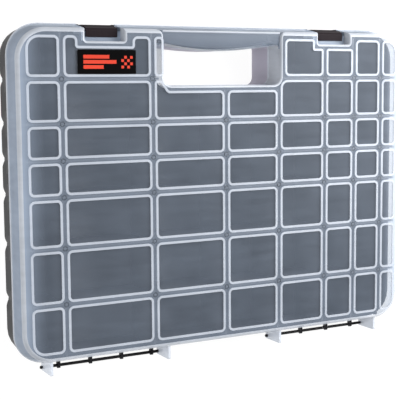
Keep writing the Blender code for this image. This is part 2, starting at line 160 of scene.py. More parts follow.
class OrganizerSizes(bpy.types.PropertyGroup):
    """Fine sizes of the mouldings."""

    lid_wall: FloatProperty(
        name="Lid wall", description="Thickness of the lid's moulding", default=0.002, unit="LENGTH"
    )
    edge_round: FloatProperty(
        name="Edge round", description="Radius of the lid's outer edge", default=0.0036, unit="LENGTH"
    )
    mouth_round: FloatProperty(
        name="Mouth round",
        description="Radius round the slot and latch pockets",
        default=0.0024,
        unit="LENGTH",
    )
    bead_width: FloatProperty(
        name="Bead width",
        description="Width of the bead round each window",
        default=0.0028,
        unit="LENGTH",
    )
    bead_height: FloatProperty(
        name="Bead height",
        description="How far a bead stands out of the face",
        default=0.0011,
        unit="LENGTH",
    )
    bead_offset: FloatProperty(
        name="Bead offset",
        description="From a divider's middle to a bead's middle",
        default=0.0032,
        unit="LENGTH",
    )
    window_corner: FloatProperty(
        name="Window corner",
        description="Corner radius of a bead's middle line",
        default=0.0042,
        unit="LENGTH",
    )
    window_depth: FloatProperty(
        name="Window depth",
        description="How far a window lies below the face",
        default=0.0005,
        unit="LENGTH",
    )
    grip_drop: FloatProperty(
        name="Grip drop",
        description="How far the grip lies below the face",
        default=0.0026,
        unit="LENGTH",
    )
    grip_crown: FloatProperty(
        name="Grip crown",
        description="How far the grip's long edges round down",
        default=0.0050,
        unit="LENGTH",
    )
    groove: FloatProperty(
        name="Side groove",
        description="Depth of the tray's side grooves at its back",
        default=0.0042,
        unit="LENGTH",
    )


class OrganizerColours(bpy.types.PropertyGroup):
    """Colours of the plastics."""

    frosted: FloatVectorProperty(
        name="Frosted plastic",
        description="The lid's milky plastic",
        subtype="COLOR",
        default=(0.51, 0.61, 0.77),
    )
    # Edge plastic: the frosted plastic where it is thick, and also made lighter as a painted highlight
    # along rounded edges, beads, fins and the slot's band.
    edge: FloatVectorProperty(
        name="Edge plastic",
        description="The same plastic where it is thick",
        subtype="COLOR",
        default=(0.66, 0.70, 0.77),
    )
    black: FloatVectorProperty(
        name="Tray black",
        description="The tray and its pins",
        subtype="COLOR",
        default=(0.018, 0.018, 0.020),
    )
    latch: FloatVectorProperty(
        name="Latch brown-black",
        description="The two latches",
        subtype="COLOR",
        default=(0.014, 0.010, 0.012),
    )
    stripe: FloatVectorProperty(
        name="Label stripes",
        description="The print on the label",
        subtype="COLOR",
        default=(0.56, 0.045, 0.022),
    )


def sizes():
    return bpy.context.scene.organizer_sizes


def colours():
    return bpy.context.scene.organizer_colours


# ---- finishes ----


class Shade:
    """A number in a finish's node tree that the usual operators work on."""

    def __init__(self, finish, socket):
        self.finish = finish
        self.socket = socket

    def __add__(self, other):
        return self.finish.math("ADD", self, other)

    __radd__ = __add__

    def __sub__(self, other):
        return self.finish.math("SUBTRACT", self, other)

    def __rsub__(self, other):
        return self.finish.math("SUBTRACT", other, self)

    def __mul__(self, other):
        return self.finish.math("MULTIPLY", self, other)

    __rmul__ = __mul__


class Finish:
    """One plastic's material: a Principled shader and the nodes that vary it."""

    def __init__(self, name, sockets=None):
        self.material = bpy.data.materials.new(name)
        self.material.use_nodes = True
        self.nodes = self.material.node_tree.nodes
        self.shader = self.nodes["Principled BSDF"]
        self.place = self.add("ShaderNodeTexCoord").outputs["Object"]
        for socket, value in (sockets or {}).items():
            self.set(socket, value)

    def add(self, kind, settings=None, sockets=None):
        node = self.nodes.new(kind)
        for setting, value in (settings or {}).items():
            setattr(node, setting, value)
        for socket, value in (sockets or {}).items():
            self.connect(node.inputs[socket], value)
        return node

    def connect(self, socket, value):
        if isinstance(value, Shade):
            value = value.socket
        if isinstance(value, bpy.types.NodeSocket):
            self.material.node_tree.links.new(value, socket)
        elif isinstance(value, (tuple, list)) and len(value) == 3 and socket.type == "RGBA":
            socket.default_value = (*value, 1)
        else:
            socket.default_value = value

    def set(self, socket, value):
        if not isinstance(value, (int, float, bpy.types.NodeSocket, Shade)):
            value = tuple(value)
        self.connect(self.shader.inputs[socket], value)

    def math(self, operation, first, second, clamp=False):
        settings = {"operation": operation, "use_clamp": clamp}
        node = self.add("ShaderNodeMath", settings, {0: first, 1: second})
        return Shade(self, node.outputs[0])

    def noise(self, scale, detail=2.0, place=None):
        sockets = {"Vector": place or self.place, "Scale": scale, "Detail": detail}
        return Shade(self, self.add("ShaderNodeTexNoise", {}, sockets).outputs["Fac"])

    def stretched(self, along):
        """Object coordinates scaled on each axis, for grain that runs one way."""
        return self.add("ShaderNodeMapping", {}, {"Vector": self.place, "Scale": along}).outputs[0]

    def blend(self, share, first, second):
        sockets = {0: share, 6: first, 7: second}
        return self.add("ShaderNodeMix", {"data_type": "RGBA"}, sockets).outputs[2]

    def relief(self, height, distance, strength=1.0):
        sockets = {"Height": height, "Distance": distance, "Strength": strength}
        self.set("Normal", self.add("ShaderNodeBump", {}, sockets).outputs["Normal"])


def shade_of(colour, amount):
    return tuple(min(1.0, channel * amount) for channel in colour)


def frosted(name, cover, colour, roughness=0.34, mist=0.24, painted_rim_light=0.0):
    """Milky see-through plastic: cover is the share of what lies behind that it hides."""
    finish = Finish(name, {"IOR": 1.49})
    cloud = finish.noise(26.0, 3.0)
    flow = finish.noise(1.0, 2.0, finish.stretched((22.0, 150.0, 60.0)))
    finish.set("Base Color", finish.blend(cloud, shade_of(colour, 0.94), shade_of(colour, 1.06)))
    milk = cover * (1 - mist) + (cloud + flow) * (cover * mist)
    # Painted light: towards the lid's left and right edges the plastic is made more opaque, so it shows
    # lighter over the dark inside.
    if painted_rim_light:
        milk = milk + near_rim(finish) * painted_rim_light
    finish.set("Alpha", finish.math("MAXIMUM", milk, 0.0, clamp=True))
    finish.set("Roughness", roughness + cloud * 0.08)
    finish.relief(flow, 0.00002)
    return finish.material


def near_rim(finish):
    """From 0 in the middle of the lid to 1 at its left and right edges: the mask of the painted light near
    those edges.
    """
    axes = finish.add("ShaderNodeSeparateXYZ", {}, {"Vector": finish.place})
    band = 0.03
    nearest = finish.math("ABSOLUTE", Shade(finish, axes.outputs["X"]), 0.0) - (FACE_HALF - band)
    share = finish.math("MULTIPLY", nearest, 1 / band, clamp=True)
    return share * share


def moulded(name, colour, roughness, gloss=0.3, grain_size=900.0, grain_depth=0.00004):
    """Opaque moulded plastic with a fine spark-eroded grain and faint flow marks."""
    finish = Finish(name, {"Specular IOR Level": gloss})
    grain = finish.noise(grain_size, 2.0)
    flow = finish.noise(9.0, 4.0, finish.stretched((1.0, 3.5, 1.0)))
    finish.set("Base Color", finish.blend(flow, shade_of(colour, 0.8), shade_of(colour, 1.35)))
    finish.set("Roughness", roughness - 0.05 + grain * 0.06 + flow * 0.08)
    finish.relief(grain, grain_depth)
    return finish.material


def brushed(name, colour, roughness, gloss=0.2):
    """Moulded plastic with fine ribs across it, as on a latch."""
    finish = Finish(name, {"Specular IOR Level": gloss})
    lines = finish.noise(1.0, 2.0, finish.stretched((1400.0, 60.0, 60.0)))
    finish.set("Base Color", finish.blend(lines, shade_of(colour, 0.7), shade_of(colour, 1.5)))
    finish.set("Roughness", roughness + lines * 0.1)
    finish.relief(lines, 0.00012)
    return finish.material


# ---- outlines ----


def mixed(low, high, share):
    return low + (high - low) * share


def arc(centre_x, centre_y, radius, start, end, steps=CORNER_STEPS):
    """Points along an arc, with its two ends, angles in degrees."""
    angles = [math.radians(mixed(start, end, i / steps)) for i in range(steps + 1)]
    return [(centre_x + radius * math.cos(a), centre_y + radius * math.sin(a)) for a in angles]


def case_edges(z, inset=0.0):
    """Left, right, bottom, top and corner radius of the case's outer edge at height z."""
    share = min(1.0, (FACE_Z - z) / (FACE_Z - RIM_Z))
    drawn_in = inset + BACK_INSET * max(0.0, 1 - z / RIM_Z)
    side = FACE_HALF + SIDE_FLARE * share - drawn_in
    top = FACE_TOP + END_FLARE * share - drawn_in
    bottom = FACE_BOTTOM - END_FLARE * share + drawn_in
    return -side, side, bottom, top, FACE_CORNER + SIDE_FLARE * share - drawn_in


def rounded_rectangle(left, right, bottom, top, radius):
    points = arc(right - radius, bottom + radius, radius, -90, 0)
    points += arc(right - radius, top - radius, radius, 0, 90)
    points += arc(left + radius, top - radius, radius, 90, 180)
    return points + arc(left + radius, bottom + radius, radius, 180, 270)


def case_outline(z, inset=0.0):
    return rounded_rectangle(*case_edges(z, inset))


def slot_outline(grow=0.0):
    """The hand slot, larger by grow all round; the grip arches down into it."""
    wide = SLOT_CORNER + grow
    tight = GRIP_CORNER + grow
    points = arc(SLOT_LEFT + SLOT_CORNER, SLOT_BOTTOM + SLOT_CORNER, wide, 180, 270)
    points += arc(SLOT_RIGHT - SLOT_CORNER, SLOT_BOTTOM + SLOT_CORNER, wide, 270, 360)
    points += arc(SLOT_RIGHT - GRIP_CORNER, SLOT_TOP - GRIP_CORNER, tight, 0, 90)
    half = (SLOT_RIGHT - SLOT_LEFT) / 2 - GRIP_CORNER
    centre = (SLOT_LEFT + SLOT_RIGHT) / 2
    arch_steps = 2 * CORNER_STEPS
    for i in range(1, arch_steps):
        share = 1 - 2 * i / arch_steps
        points.append((centre + half * share, SLOT_TOP + grow - SLOT_ARCH * (1 - share * share)))
    return points + arc(SLOT_LEFT + GRIP_CORNER, SLOT_TOP - GRIP_CORNER, tight, 90, 180)


def notch_outline(left, right, low, corner, grow=0.0, mouth=0.0):
    """An opening in the lid's top edge, from low upwards, with rounded lower corners and mouth."""
    past = RIM_TOP + BEYOND
    radius = corner + grow
    points = arc(left + corner, low + corner, radius, 180, 270)
    points += arc(right - corner, low + corner, radius, 270, 360)
    if mouth:
        turn = mouth - grow
        points += arc(right + mouth, FACE_TOP - mouth, turn, 180, 90)
        points += [(right + mouth, past), (left - mouth, past)]
        return points + arc(left - mouth, FACE_TOP - mouth, turn, 90, 0)
    return points + [(right + grow, past), (left - grow, past)]


def filleted(corners, inset=0.0):
    """A closed outline through (x, y, radius) corners, anticlockwise, drawn in by inset."""
    spots = [Vector(corner[:2]) for corner in corners]
    count = len(spots)
    ways = [(spots[(i + 1) % count] - spots[i]).normalized() for i in range(count)]
    moved = []
    for i, spot in enumerate(spots):
        before = ways[i - 1].orthogonal()
        after = ways[i].orthogonal()
        moved.append(spot + inset * (before + after) / (1 + before.dot(after)))
    points = []
    for i, spot in enumerate(moved):
        turn = ways[i - 1].angle_signed(ways[i], 0.0)
        left = turn < 0
        radius = corners[i][2] - inset if left else corners[i][2] + inset
        reach = abs(radius * math.tan(turn / 2))
        start = spot - ways[i - 1] * reach
        side = ways[i - 1].orthogonal() * (1 if left else -1)
        centre = start + side * radius
        steps = max(2, round(abs(turn) / math.radians(90 / 6)))
        for step in range(steps + 1):
            arm = (start - centre).copy()
            arm.rotate(Matrix.Rotation(-turn * step / steps, 2))
            points.append(tuple(centre + arm))
    return points


# ---- solids ----


def at_height(points, z):
    return [(x, y, z) for x, y in points]


def across(profile, x):
    """A Y-Z profile placed at x."""
    return [(x, y, z) for y, z in profile]


def link(name, mesh):
    made = bpy.data.objects.new(name, mesh)
    bpy.context.scene.collection.objects.link(made)
    return made


def from_bmesh(name, bm, materials=()):
    bmesh.ops.remove_doubles(bm, verts=bm.verts, dist=1e-6)
    bmesh.ops.recalc_face_normals(bm, faces=bm.faces)
    mesh = bpy.data.meshes.new(name)
    bm.to_mesh(mesh)
    bm.free()
    for material in materials:
        mesh.materials.append(material)
    return link(name, mesh)


def add_skin(bm, rings, zones=0, caps=(0, 0)):
    """Adds a closed solid through rings of as many points each; zones gives each band's material."""
    loops = [[bm.verts.new(point) for point in ring] for ring in rings]
    if isinstance(zones, int):
        zones = [zones] * (len(rings) - 1)
    for lower, upper, zone in zip(loops, loops[1:], zones):
        for i in range(len(lower)):
            j = (i + 1) % len(lower)
            bm.faces.new((lower[i], lower[j], upper[j], upper[i])).material_index = zone
    bm.faces.new(loops[0]).material_index = caps[0]
    bm.faces.new(loops[-1]).material_index = caps[1]


def skin(name, rings, zones=0, caps=(0, 0), materials=()):
    bm = bmesh.new()
    add_skin(bm, rings, zones, caps)
    return from_bmesh(name, bm, materials)


def add_block(bm, low, high, zone=0):
    outline = [(low[0], low[1]), (high[0], low[1]), (high[0], high[1]), (low[0], high[1])]
    add_skin(bm, [at_height(outline, low[2]), at_height(outline, high[2])], zone, (zone, zone))


def block(name, low, high, zone=0, materials=()):
    bm = bmesh.new()
    add_block(bm, low, high, zone)
    return from_bmesh(name, bm, materials)


def flared(outline, start, radius, wall=EDGE):
    """Rings of an opening that flares out to the face with a rounded mouth, and goes on above."""
    rings = [at_height(outline(0.0), start)]
    for i in range(FILLET_STEPS + 1):
        angle = math.radians(90 * i / FILLET_STEPS)
        grow = radius * (1 - math.cos(angle))
        rings.append(at_height(outline(grow), FACE_Z - radius + radius * math.sin(angle)))
    rings.append(at_height(outline(radius), FACE_Z + BEYOND))
    zones = [wall] + [EDGE] * (FILLET_STEPS + 1)
    return rings, zones


def combine(target, operation, tools):
    for tool in tools:
        modifier = target.modifiers.new(tool.name, "BOOLEAN")
        modifier.operation = operation
        modifier.solver = "EXACT"
        modifier.object = tool
        tool.hide_render = True


def settle(made):
    """Puts what an object's modifiers make into its mesh, and takes the modifiers away."""
    bpy.context.view_layer.update()
    graph = bpy.context.evaluated_depsgraph_get()
    mesh = bpy.data.meshes.new_from_object(made.evaluated_get(graph), depsgraph=graph)
    made.modifiers.clear()
    made.data = mesh
    return made


def discard(*tools):
    for tool in tools:
        bpy.data.objects.remove(tool)


def smooth(made, angle=32):
    made.data.shade_smooth()
    made.data.set_sharp_from_angle(angle=math.radians(angle))
    modifier = made.modifiers.new("Even shading", "WEIGHTED_NORMAL")
    modifier.keep_sharp = True
    return settle(made)


def softened(made, width, segments=2, angle=30):
    modifier = made.modifiers.new("Soft edges", "BEVEL")
    modifier.width = width
    modifier.segments = segments
    modifier.limit_method = "ANGLE"
    modifier.angle_limit = math.radians(angle)
    modifier.miter_outer = "MITER_ARC"
    return settle(made)


def hand_over(made, body, slot, *nodes):
    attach(made, body)
    if nodes:
        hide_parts(*nodes)
    return made


# ---- windows ----

LEFT_MARGIN = 0.0106
RIGHT_MARGIN = 0.0062
TOP_MARGIN = 0.0082
BOTTOM_MARGIN = 0.0086
SLOT_MARGIN = 0.0066
STEP_MARGIN = 0.0062
CASE_CORNER = 0.012


def pocket_step(side):
    """Left end, right end and height of the step that windows take round a latch pocket."""
    reach = POCKET_HALF + 0.0094
    return LATCHES[side] - reach, LATCHES[side] + reach, POCKET_BOTTOM - STEP_MARGIN


def window_corners():
    """Each window's bead line, as anticlockwise corners (x, y, radius)."""
    off = sizes().bead_offset
    radius = sizes().window_corner
    lefts = [-FACE_HALF + LEFT_MARGIN] + [x + off for x in COLUMNS]
    rights = [x - off for x in COLUMNS] + [FACE_HALF - RIGHT_MARGIN]
    tops = [FACE_TOP - TOP_MARGIN] + [y - off for y in ROWS]
    bottoms = [y + off for y in ROWS] + [FACE_BOTTOM + BOTTOM_MARGIN]
    last_row, last_column = len(tops) - 1, len(lefts) - 1
    under_slot = SLOT_BOTTOM - SLOT_MARGIN
    windows = []
    for row in range(last_row + 1):
        for column in range(last_column + 1):
            left, right = lefts[column], rights[column]
            bottom, top = bottoms[row], tops[row]
            if row == 0 and column in (2, 3):
                continue
            if row == 0 and column == 4:
                left = SLOT_RIGHT + SLOT_MARGIN
            if row == 1 and column == 3:
                top = under_slot
            places = ((left, bottom), (right, bottom), (right, top), (left, top))
            corners = [(x, y, radius) for x, y in places]
            if row == last_row and column == 0:
                corners[0] = (left, bottom, CASE_CORNER)
            if row == last_row and column == last_column:
                corners[1] = (right, bottom, CASE_CORNER)
            if row == 0 and column == last_column:
                corners[2] = (right, top, CASE_CORNER)
            if row == 0 and column == 0:
                corners[3] = (left, top, CASE_CORNER)
            if row == 1 and column == 4:
                corners[3] = (left, top, 1.8 * radius)
            if row == 1 and column == 2:
                ear = left + 2 * off
                across_corner = SLOT_LEFT + SLOT_CORNER / 2
                corners[2:] = [(right, under_slot, radius), (across_corner, under_slot, radius)]
                corners += [(ear, top, radius / 2), (left, top, radius / 2)]
            if row == 0 and column == 1:
                start, end, low = pocket_step("left")
                corners[2:] = [(right, top, radius), (end, top, radius), (end, low, radius / 2)]
                corners += [(start, low, radius / 2), (start, top, radius), (left, top, radius)]
            if row == 0 and column == 4:
                start, end, low = pocket_step("right")
                start = start + off
                corners[2:] = [(right, low, radius / 2), (start, low, radius / 3), (start, top, radius / 2)]
                corners += [(left, top, radius)]
            if row == 0 and column == 5:
                low = pocket_step("right")[2]
                corners[2:] = [(right, low, radius / 2), (left, low, radius / 2)]
            windows.append(corners)
    sliver = radius * 0.7
    left, right = lefts[2], SLOT_LEFT - SIDE_FLARE
    windows.append([
        (left, bottoms[0], sliver),
        (right, bottoms[0], sliver),
        (right, tops[0], sliver),
        (left, tops[0], sliver),
    ])
    return windows


def bead_profile():
    """A unit bead, wide at its foot, with a shallow groove along its crown."""
    steps = 14
    points = []
    for i in range(steps + 1):
        share = 2 * i / steps - 1
        dome = (1 - abs(share) ** 3.2) ** 0.6
        groove = 0.42 * math.exp(-((share / 0.3) ** 2))
        points.append((share / 2, dome - groove, 0))
    return points + [(0.42, -0.35, 0), (-0.42, -0.35, 0)]


def loop_object(name, loops):
    """Closed loops of points as bare edges, or single points."""
    bm = bmesh.new()
    for points in loops:
        verts = [bm.verts.new(point) for point in points]
        if len(verts) > 1:
            for vert, following in zip(verts, verts[1:] + verts[:1]):
                bm.edges.new((vert, following))
    mesh = bpy.data.meshes.new(name)
    bm.to_mesh(mesh)
    bm.free()
    return link(name, mesh)


class Tree:
    """A Geometry Nodes tree with named inputs."""

    def __init__(self, name, inputs):
        self.group = bpy.data.node_groups.new(name, "GeometryNodeTree")
        self.keys = {}
        face = self.group.interface
        face.new_socket("Geometry", in_out="INPUT", socket_type="NodeSocketGeometry")
        for label, kind in inputs.items():
            self.keys[label] = face.new_socket(label, in_out="INPUT", socket_type=kind).identifier
        face.new_socket("Geometry", in_out="OUTPUT", socket_type="NodeSocketGeometry")
        self.source = self.group.nodes.new("NodeGroupInput")
        self.sink = self.group.nodes.new("NodeGroupOutput")

    def add(self, kind, sockets=None, **settings):
        node = self.group.nodes.new(kind)
        for setting, value in settings.items():
            setattr(node, setting, value)
        for socket, value in (sockets or {}).items():
            if isinstance(value, bpy.types.NodeSocket):
                self.group.links.new(value, node.inputs[socket])
            else:
                node.inputs[socket].default_value = value
        return node.outputs[0]

    def end(self, geometry, finish):
        """Realizes instances, sets the finish and ends the tree."""
        real = self.add("GeometryNodeRealizeInstances", {"Geometry": geometry})
        done = self.add("GeometryNodeSetMaterial", {"Geometry": real, "Material": finish})
        self.group.links.new(done, self.sink.inputs[0])

    def run_on(self, made, values):
        modifier = made.modifiers.new(self.group.name, "NODES")
        modifier.node_group = self.group
        for label, value in values.items():
            modifier[self.keys[label]] = value
        return settle(made)


def bead_tree():
    """Sweeps a bead's section along every outline that it is given."""
    tree = Tree("Swept bead", {
        "Section": "NodeSocketObject",
        "Width": "NodeSocketFloat",
        "Height": "NodeSocketFloat",
        "Finish": "NodeSocketMaterial",
    })
    given = tree.source.outputs
    shape = tree.group.nodes.new("GeometryNodeObjectInfo")
    tree.group.links.new(given["Section"], shape.inputs["Object"])
    scale = tree.add("ShaderNodeCombineXYZ", {"X": given["Width"], "Y": given["Height"], "Z": 1.0})
    section = tree.add("GeometryNodeTransform", {"Geometry": shape.outputs["Geometry"], "Scale": scale})
    section = tree.add("GeometryNodeMeshToCurve", {"Mesh": section})
    path = tree.add("GeometryNodeMeshToCurve", {"Mesh": given["Geometry"]})
    path = tree.add("GeometryNodeSetCurveNormal", {"Curve": path}, mode="Z_UP")
    swept = tree.add("GeometryNodeCurveToMesh", {"Curve": path, "Profile Curve": section})
    tree.end(swept, given["Finish"])
    return tree


def mark_tree():
    """Puts a small ring on every point that it is given."""
    tree = Tree("Crossing rings", {
        "Radius": "NodeSocketFloat",
        "Thickness": "NodeSocketFloat",
        "Finish": "NodeSocketMaterial",
    })
    given = tree.source.outputs
    circle = tree.add("GeometryNodeCurvePrimitiveCircle", {"Resolution": 16, "Radius": given["Radius"]})
    section = tree.add("GeometryNodeCurvePrimitiveCircle", {"Resolution": 6, "Radius": given["Thickness"]})
    ring = tree.add("GeometryNodeCurveToMesh", {"Curve": circle, "Profile Curve": section})
    rings = tree.add("GeometryNodeInstanceOnPoints", {"Points": given["Geometry"], "Instance": ring})
    tree.end(rings, given["Finish"])
    return tree


# ---- operators ----


class ORGANIZER_OT_tray(bpy.types.Operator):
    """Build the black tray with its grooved sides and back"""

    bl_idname = "organizer.tray"
    bl_label = "Tray"

    def execute(self, context):
        black = moulded("tray_black", colours().black, 0.42, 0.05)
        # The tray's wall round the hand slot is given a lighter grey than the rest of the black tray.
        slot_wall_tone = moulded("slot_wall_grey", (0.37, 0.355, 0.42), 0.5)
        # Painted light: the faces inside the compartments get a lighter copy of the tray's black, so that
        # what the windows show is brighter.
        inner = moulded("tray_inside", shade_of(colours().black, 2.6), 0.5)
        tray = copy_of("tray")
        ribs = self.side_cusps("side_ribs", self.rib_depth, self.wall_cover)
        grooves = self.side_cusps("side_grooves", 0.0, -self.wall_cover)
        channels = self.back_grooves()
        combine(tray, "UNION", [ribs])
        trims = self.lug_trims()
        combine(tray, "DIFFERENCE", [grooves, channels, trims])
        settle(tray)
        discard(ribs, grooves, channels, trims)
        for material in (black, slot_wall_tone, inner):
            tray.data.materials.append(material)
        for face in tray.data.polygons:
            face.material_index = 1 if self.in_slot(face) else 2 if self.in_cavity(face) else 0
        smooth(tray)
        hand_over(tray, "tray", "tray_black", "tray")
        return {"FINISHED"}

    def in_slot(self, face):
        """Whether a face is part of the wall round the hand slot."""
        x, y, z = face.center
        if abs(face.normal.z) > 0.5 or not 0.0005 < z < RIM_Z:
            return False
        margin = 0.0008
        if not SLOT_LEFT - margin < x < SLOT_RIGHT + margin:
            return False
        return SLOT_BOTTOM - margin < y < SLOT_TOP + margin

    def in_cavity(self, face):
        """Whether a face looks into the compartments."""
        z = face.center.z
        floor = face.normal.z > 0.5 and 0.001 < z < RIM_Z - 0.008
        centre = Vector((0.0, (FACE_TOP + FACE_BOTTOM) / 2, z))
        inward = face.normal.dot(centre - face.center) > 0 and abs(face.normal.z) < 0.5
        return floor or (inward and z < RIM_Z)

    rib_depth = 0.0017
    wall_cover = 0.0010

    def side_cusps(self, name, deeper, inside):
        """Solids that come to a point at every row divider, deepest at the back and gone near the rim.

        Their outer side lies inside the wall's surface by the last value, or outside where that is
        negative: those inside thicken the wall, and those outside cut a groove into it.
        """
        bm = bmesh.new()
        half, depth = 0.013, sizes().groove
        low, high = (0.0004, RIM_Z - 0.0035) if inside > 0 else (-BEYOND, RIM_Z - 0.0045)
        along, up = 16, 6
        for sign in (-1, 1):
            for y in ROWS:
                rings = []
                for k in range(up + 1):
                    z = mixed(low, high, k / up)
                    wall = case_edges(max(z, 0.0))[1]
                    reach = depth * (1 - max(z, 0.0) / RIM_Z) ** 0.8
                    ring = []
                    for i in range(along + 1):
                        share = 2 * i / along - 1
                        inner = wall - reach * (1 - abs(share)) ** 2 - deeper
                        ring.append((sign * min(inner, wall - inside - 0.0002), y + share * half, z))
                    ring += [(sign * (wall - inside), y + half, z), (sign * (wall - inside), y - half, z)]
                    rings.append(ring)
                add_skin(bm, rings)
        return from_bmesh(name, bm)

    lug_places = (0.0775, 0.1123, 0.1472, 0.182)

    def lug_trims(self):
        """Narrows each hinge lug to a slim ear round its pin."""
        bm = bmesh.new()
        half, ear = 0.0026, 0.0014
        low, high = RIM_BOTTOM - 0.0005, LID_LOW.y - BEYOND
        for sign in HINGES.values():
            for place in self.lug_places:
                for way in (-1, 1):
                    near, far = sorted((sign * place + way * ear, sign * place + way * half))
                    add_block(bm, (near, high, -BEYOND), (far, low, FACE_Z))
        return from_bmesh("lug_trims", bm)

    def back_grooves(self):
        """Shallow grooves in the back, in line with the dividers."""
        bm = bmesh.new()
        depth, half = 0.0008, 0.0013
        end_x, low_y, high_y = FACE_HALF - 0.012, FACE_BOTTOM + 0.010, SLOT_BOTTOM - 0.012
        for y in ROWS[1:]:
            add_block(bm, (-end_x, y - half, -BEYOND), (end_x, y + half, depth))
        rows = from_bmesh("back_grooves", bm)
        bm = bmesh.new()
        for x in COLUMNS:
            add_block(bm, (x - half, low_y, -BEYOND), (x + half, high_y, depth))
        columns = from_bmesh("column_grooves", bm)
        combine(rows, "UNION", [columns])
        settle(rows)
        discard(columns)
        return rows


def copy_of(node):
    """A merged copy of a node's mesh, with flat areas as single faces."""
    bm = bmesh.new()
    bm.from_mesh(frame["nodes"][node].data)
    bmesh.ops.remove_doubles(bm, verts=bm.verts, dist=1e-6)
    bmesh.ops.dissolve_limit(bm, angle_limit=math.radians(0.5), verts=bm.verts, edges=bm.edges)
    mesh = bpy.data.meshes.new(f"{node}_shape")
    bm.to_mesh(mesh)
    bm.free()
    return link(f"{node}_fine", mesh)


class ORGANIZER_OT_dividers(bpy.types.Operator):
    """Give the divider plates a lighter copy of the tray's black, as painted light"""

    bl_idname = "organizer.dividers"
    bl_label = "Dividers"

    def execute(self, context):
        # Painted light: a lighter copy of the tray's black, to brighten the dividers seen through the
        # windows.
        black = moulded("divider_black", shade_of(colours().black, 2.2), 0.45)
        for name, node in frame["nodes"].items():
            if "divider" in name:
                for slot in node.material_slots:
                    slot.material = black
        return {"FINISHED"}


